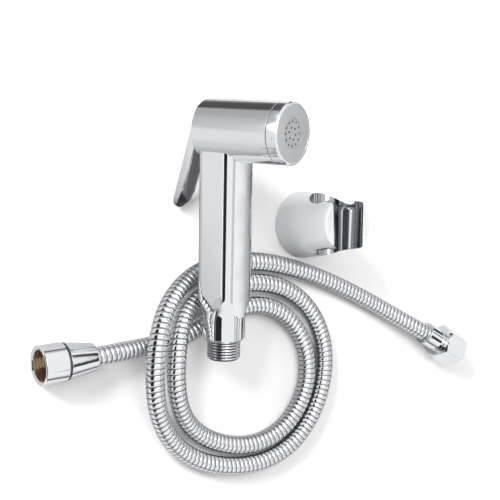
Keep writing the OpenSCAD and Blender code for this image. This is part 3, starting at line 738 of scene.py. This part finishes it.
def groove_depth(phase):
    """Depth over one turn of the wound strip, 0 on the crown and 1 in the groove."""
    from_crown = abs(phase - 0.5) * 2
    dip = math.exp(-(((1 - from_crown) / GROOVE_WIDTH) ** 2))
    return min(1.0, dip + CROWN_FALL * from_crown**2)


def ribbed_hose(sizes):
    """The hose as one closed mesh, a wound, ribbed outside and a plain bore, with its line."""
    line, total = hose_line(sizes.pitch / sizes.steps)
    sides = sizes.sides
    outer = []
    inner = []
    shade = []
    for i, here in enumerate(line):
        ahead = line[min(i + 1, len(line) - 1)] - line[max(i - 1, 0)]
        ahead.normalize()
        level = Vector((ahead.y, -ahead.x, 0)).normalized()
        up = level.cross(ahead)
        for k in range(sides):
            angle = 2 * math.pi * k / sides
            way = math.cos(angle) * level + math.sin(angle) * up
            deep = groove_depth((i / sizes.steps + k / sides) % 1.0)
            outer.append(here + way * (sizes.diameter / 2 - sizes.groove * deep))
            shade.append(deep)
            if i % sizes.steps == 0 or i == len(line) - 1:
                inner.append(here + way * sizes.bore / 2)
    base = len(outer)
    rows = len(inner) // sides
    faces = []
    for i in range(len(line) - 1):
        for k in range(sides):
            a, b = i * sides + k, i * sides + (k + 1) % sides
            faces.append((a, b, b + sides, a + sides))
    for i in range(rows - 1):
        for k in range(sides):
            a, b = base + i * sides + k, base + i * sides + (k + 1) % sides
            faces.append((b, a, a + sides, b + sides))
    out_end = (len(line) - 1) * sides
    in_end = base + (rows - 1) * sides
    for k in range(sides):
        n = (k + 1) % sides
        faces.append((n, k, base + k, base + n))
        faces.append((out_end + k, out_end + n, in_end + n, in_end + k))
    shade += [BORE_SHADE] * len(inner)
    mesh = bpy.data.meshes.new("ribbed_hose")
    mesh.from_pydata([tuple(p) for p in outer + inner], [], faces)
    mesh.validate()
    mesh.update()
    mesh.polygons.foreach_set("use_smooth", [True] * len(mesh.polygons))
    mesh.attributes.new("groove", "FLOAT", "POINT").data.foreach_set("value", shade)
    hose = bpy.data.objects.new("ribbed_hose", mesh)
    bpy.context.scene.collection.objects.link(hose)
    return hose, line, total


# ---- Operators ----


class SPRAYER_OT_stage(bpy.types.Operator):
    """Sets the camera, the floor, the lamps and the panels that the chrome reflects"""

    bl_idname = "sprayer.stage"
    bl_label = "Stage"

    def execute(self, context):
        sizes = context.scene.sprayer_stage
        colours = context.scene.sprayer_colours
        self.camera(context, sizes)
        self.floor(context, sizes, colours)
        self.lamps(context, sizes)
        self.wall(context, colours)
        self.cards(context)
        self.sky(context, sizes)
        context.scene.view_settings.view_transform = "Standard"
        return {"FINISHED"}

    def camera(self, context, sizes):
        toward = Vector((-math.sin(sizes.lean_left), -math.sin(sizes.lean_front), 0))
        toward.z = math.sqrt(1 - toward.length_squared)
        side = Vector((0, 1, 0)).cross(toward).normalized()
        turn = Matrix((side, toward.cross(side), toward)).transposed().to_4x4()
        data = bpy.data.cameras.new("camera")
        data.lens = sizes.lens
        data.sensor_width = FILM_WIDTH
        data.clip_start = NEAREST
        camera = bpy.data.objects.new("camera", data)
        context.scene.collection.objects.link(camera)
        place_at = Vector(sizes.aim) + toward * sizes.distance
        camera.matrix_world = Matrix.Translation(place_at) @ turn
        context.scene.camera = camera

    def floor(self, context, sizes, colours):
        half = sizes.floor_size / 2
        corners = [(-half, -half), (half, -half), (half, half), (-half, half)]
        mesh = bpy.data.meshes.new("table_top")
        mesh.from_pydata([(x, y, TABLE_HEIGHT) for x, y in corners], [], [(0, 1, 2, 3)])
        floor = bpy.data.objects.new("table_top", mesh)
        context.scene.collection.objects.link(floor)
        material, tree, shader = new_material("table_top")
        shader.inputs["Roughness"].default_value = 0.7
        shader.inputs["Specular IOR Level"].default_value = 0.2
        away = place(tree, round_the_axis(), point=KIT_MIDDLE, direction=(0, 0, 1))
        fade = add(
            tree,
            "ShaderNodeMapRange",
            {"From Min": PALE_FROM, "From Max": PALE_TO},
            interpolation_type="SMOOTHSTEP",
        )
        feed(tree, away.outputs["Distance"], fade.inputs["Value"])
        near_tone = (*colours.floor_near, 1)
        away_tone = (*colours.floor_away, 1)
        tone = mix_colours(tree, fade.outputs["Result"], near_tone, away_tone)
        # Reflections see the table top with painted shade; the camera sees the plain floor.
        reflected = add(tree, "ShaderNodeLightPath").outputs["Is Glossy Ray"]
        seen = mix_colours(tree, reflected, (*colours.floor, 1), tone)
        feed(tree, seen, shader.inputs["Base Color"])
        mesh.materials.append(material)

    def lamps(self, context, sizes):
        for name, (spot, side, reflected) in LAMPS.items():
            data = bpy.data.lights.new(name, "AREA")
            data.energy = getattr(sizes, name + "_power")
            data.size = side
            lamp = bpy.data.objects.new(name, data)
            lamp.location = spot
            lamp.rotation_euler = (-Vector(spot)).to_track_quat("-Z", "Y").to_euler()
            lamp.visible_glossy = reflected
            context.scene.collection.objects.link(lamp)

    def wall(self, context, colours):
        """A round wall, dark at its foot and white at its top."""
        material, tree, glow = new_material("studio_wall", "ShaderNodeEmission")
        here = add(tree, "ShaderNodeTexCoord")
        split = add(tree, "ShaderNodeSeparateXYZ")
        ramp = add(tree, "ShaderNodeValToRGB")
        stops = ramp.color_ramp.elements
        stops[0].position = WALL_FOOT
        stops[0].color = (*colours.wall, 1)
        stops[1].position = 1.0
        stops[1].color = (1, 1, 1, 1)
        for share, grey in WALL_GREYS:
            stops.new(share).color = (grey, grey, grey, 1)
        feed(tree, here.outputs["Object"], split.inputs["Vector"])
        feed(tree, number(tree, "DIVIDE", split.outputs["Z"], WALL_HEIGHT), ramp.inputs["Fac"])
        feed(tree, ramp.outputs["Color"], glow.inputs["Color"])
        turns = [2 * math.pi * k / WALL_SIDES for k in range(WALL_SIDES)]
        ring = [(WALL_RADIUS * math.cos(turn), WALL_RADIUS * math.sin(turn)) for turn in turns]
        points = [(x, y, z) for z in (0, WALL_HEIGHT) for x, y in ring]
        ahead = [*range(1, WALL_SIDES), 0]
        faces = [(k, n, WALL_SIDES + n, WALL_SIDES + k) for k, n in enumerate(ahead)]
        self.reflected(context, "studio_wall", points, faces, material)

    def cards(self, context):
        """Toned cards that give the chrome its dark lines and its shading."""
        material, tree, glow = new_material("studio_card", "ShaderNodeEmission")
        tone = add(tree, "ShaderNodeAttribute", attribute_name="tone")
        feed(tree, tone.outputs["Fac"], glow.inputs["Color"])
        for name, rows in CARDS.items():
            points = [end for left, right, _ in rows for end in (left, right)]
            faces = [(2 * k, 2 * k + 1, 2 * k + 3, 2 * k + 2) for k in range(len(rows) - 1)]
            mesh = self.reflected(context, name, points, faces, material)
            tones = [tone for _, _, tone in rows for _ in range(2)]
            mesh.attributes.new("tone", "FLOAT", "POINT").data.foreach_set("value", tones)

    def reflected(self, context, name, points, faces, material):
        """Adds a studio piece that only reflections see, and returns its mesh."""
        mesh = bpy.data.meshes.new(name)
        mesh.from_pydata(points, [], faces)
        mesh.materials.append(material)
        piece = bpy.data.objects.new(name, mesh)
        piece.visible_camera = False
        piece.visible_shadow = False
        piece.visible_diffuse = False
        piece.visible_transmission = False
        context.scene.collection.objects.link(piece)
        return mesh

    def sky(self, context, sizes):
        """Even light all round, which looks white to the camera, chrome and clear pieces."""
        world = bpy.data.worlds.new("studio")
        context.scene.world = world
        world.use_nodes = True
        tree = world.node_tree
        tree.nodes.clear()
        output = add(tree, "ShaderNodeOutputWorld")
        light = add(tree, "ShaderNodeBackground", {"Color": (1, 1, 1, 1), "Strength": sizes.sky})
        white = add(tree, "ShaderNodeBackground", {"Color": (1, 1, 1, 1), "Strength": 1.0})
        path = add(tree, "ShaderNodeLightPath").outputs
        seen = number(tree, "MAXIMUM", path["Is Camera Ray"], path["Is Glossy Ray"])
        mix = add(tree, "ShaderNodeMixShader")
        sources = (
            number(tree, "MAXIMUM", seen, path["Is Transmission Ray"]),
            light.outputs["Background"],
            white.outputs["Background"],
        )
        for source, target in zip(sources, mix.inputs):
            feed(tree, source, target)
        feed(tree, mix.outputs["Shader"], output.inputs["Surface"])


class SPRAYER_OT_hose(bpy.types.Operator):
    """Winds the ribbed hose along its route"""

    bl_idname = "sprayer.hose"
    bl_label = "Ribbed Hose"

    def execute(self, context):
        sizes = context.scene.sprayer_hose
        hose, line, total = ribbed_hose(sizes)
        cover(hose, hose_metal(context.scene.sprayer_colours))
        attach(hose, BODY)
        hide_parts("hose_tube")
        return {"FINISHED"}


class SPRAYER_OT_handset(bpy.types.Operator):
    """Finishes the handset's shell, cap, face, jets, lever and inlet"""

    bl_idname = "sprayer.handset"
    bl_label = "Handset"

    def execute(self, context):
        colours = context.scene.sprayer_colours
        chrome = metal("polished_chrome", colours.chrome)
        dress(chrome, "handset_shell", "nozzle_cap", "gland_nut")
        inlet = next(m for m in frame["record"]["mounts"] if m["name"] == "hose_inlet")
        # Painted shade in the valley of the inlet's thread.
        valley = {"point": inlet["pos_m"], "direction": inlet["axis"], "radius": THREAD_VALLEY}
        zones = [(colours.groove, VALLEY_ROUGHNESS, valley)]
        dress(zoned_metal("thread_chrome", colours.chrome, zones), "inlet_spigot")
        ahead = JOINTS["stem_travel"]["axis"]
        low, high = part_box("jet_insert")
        centre = tuple((Vector(low) + Vector(high)) / 2)
        dress(turned_face("satin_face", colours.face, centre, ahead), "face_plate")
        press = JOINTS["lever_press"]
        lever = lever_chrome(
            "lever_chrome",
            colours.chrome,
            colours.channel,
            press["pos_m"],
            press["axis"],
            tuple(-Vector(ahead)),
        )
        dress(lever, "trigger_lever")
        dress(jet_plate("jet_insert", colours.insert, colours.diffuser, ahead), "jet_insert")
        return {"FINISHED"}


def return_spring():
    """The valve's return spring as its own smooth-shaded piece."""
    coil = NODES["valve_spring"]
    spring = bpy.data.objects.new("return_spring", coil.data.copy())
    bpy.context.scene.collection.objects.link(spring)
    spring.data.polygons.foreach_set("use_smooth", [True] * len(spring.data.polygons))
    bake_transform(spring)
    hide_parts("valve_spring")
    return spring


class SPRAYER_OT_valve(bpy.types.Operator):
    """Finishes the valve, its seals and the small inner pieces"""

    bl_idname = "sprayer.valve"
    bl_label = "Valve And Seals"

    def execute(self, context):
        colours = context.scene.sprayer_colours
        dress(metal("machined_brass", colours.brass), "valve_body", "spring_retainer")
        steel = metal("plain_steel", colours.steel)
        spring = return_spring()
        cover(spring, steel)
        dress(steel, "valve_stem", "lever_pin", "inlet_strainer", "grub_screw")
        dress(
            moulded("black_rubber", colours.rubber),
            "cap_o_ring",
            "valve_washer",
            "stem_o_rings",
            "cone_nut_washer",
            "hex_nut_washer",
        )
        dress(moulded("dark_plastic", colours.diffuser), "flow_diffuser")
        return {"FINISHED"}


class SPRAYER_OT_nuts(bpy.types.Operator):
    """Finishes both hose nuts and their sleeves: chrome outside, brass inside, with a ring of painted shade in the
    conical nut
    """

    bl_idname = "sprayer.nuts"
    bl_label = "Hose Nuts"

    def execute(self, context):
        colours = context.scene.sprayer_colours
        looks = {
            "brass": (colours.brass, BRASS_ROUGHNESS),
            # The dark look is painted shade, in the groove colour.
            "dark": (colours.groove, PAINTED_SHADE_ROUGHNESS),
        }
        for name, (joint, zones) in NUT_ZONES.items():
            axis = {"point": JOINTS[joint]["pos_m"], "direction": JOINTS[joint]["axis"]}
            bare = [
                (*looks[look], {**axis, "radius": radius, "start": start, "end": end})
                for look, radius, start, end in zones
            ]
            dress(zoned_metal(name + "_finish", colours.chrome, bare), name)
        return {"FINISHED"}


class SPRAYER_OT_bracket(bpy.types.Operator):
    """Finishes the wall bracket: pale satin outside, polished cradle"""

    bl_idname = "sprayer.bracket"
    bl_label = "Wall Bracket"

    def execute(self, context):
        colours = context.scene.sprayer_colours
        seat = {
            "point": (0, 0, SEAT_CENTRE),
            "direction": (0, 1, 0),
            "radius": SEAT_RADIUS,
            "start": SEAT_FLOOR,
            "end": SEAT_RIM,
        }
        zones = [(colours.liner, SEAT_ROUGHNESS, seat)]
        satin = zoned_metal("pale_satin", colours.pale_satin, zones, "pale_satin", PALE_METALLIC)
        dress(satin, "bracket_body")
        dress(metal("cradle_chrome", colours.liner), "bracket_cradle")
        dress(moulded("wall_plate", colours.plastic), "wall_plate")
        return {"FINISHED"}


class SPRAYER_PT_panel(bpy.types.Panel):
    bl_idname = "SPRAYER_PT_panel"
    bl_label = "Bath Sprayer Kit"
    bl_space_type = "VIEW_3D"
    bl_region_type = "UI"
    bl_category = "Sprayer"

    def draw(self, context):
        column = self.layout.column()
        for step in STEPS:
            column.operator(step.bl_idname)
        for pointer, group in GROUPS.items():
            for name in group.__annotations__:
                column.prop(getattr(context.scene, pointer), name)


# The property groups, by the name under which the scene holds each.
GROUPS = {
    "sprayer_hose": SPRAYER_HoseSizes,
    "sprayer_colours": SPRAYER_Colours,
    "sprayer_stage": SPRAYER_StageSizes,
}
STEPS = (
    SPRAYER_OT_stage,
    SPRAYER_OT_hose,
    SPRAYER_OT_handset,
    SPRAYER_OT_valve,
    SPRAYER_OT_nuts,
    SPRAYER_OT_bracket,
)
CLASSES = (*GROUPS.values(), *STEPS, SPRAYER_PT_panel)


def register():
    for cls in CLASSES:
        bpy.utils.register_class(cls)
    for pointer, group in GROUPS.items():
        setattr(bpy.types.Scene, pointer, bpy.props.PointerProperty(type=group))


def unregister():
    for pointer in GROUPS:
        delattr(bpy.types.Scene, pointer)
    for cls in reversed(CLASSES):
        bpy.utils.unregister_class(cls)


def main():
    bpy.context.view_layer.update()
    register()
    bpy.ops.sprayer.stage()
    bpy.ops.sprayer.hose()
    bpy.ops.sprayer.handset()
    bpy.ops.sprayer.valve()
    bpy.ops.sprayer.nuts()
    bpy.ops.sprayer.bracket()


if __name__ == "__main__":
    main()
